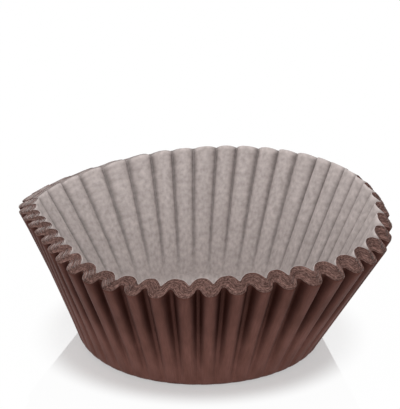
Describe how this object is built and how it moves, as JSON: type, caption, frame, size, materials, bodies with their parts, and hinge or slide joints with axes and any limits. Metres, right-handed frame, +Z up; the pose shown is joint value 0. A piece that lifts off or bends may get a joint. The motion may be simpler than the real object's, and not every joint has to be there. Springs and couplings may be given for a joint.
{
  "type": "cupcake liner",
  "caption": "Round pleated paper baking cup with a flat bottom and a flared wall, a tight nest of equal sheets pressed into each other.",
  "frame": {"origin": "centre of the flat bottom, on the surface that the liner stands on", "axes": "+Z up out of the mouth, -Y towards the front of the picture, +X to its right"},
  "size_m": [0.0789, 0.0768, 0.0316],
  "materials": {
    "paper": "dark brown greaseproof baking paper with a soft sheen outside, plain grey-brown inside"
  },
  "bodies": {
    "root": {"liner": "paper"}
  },
  "joints": []
}
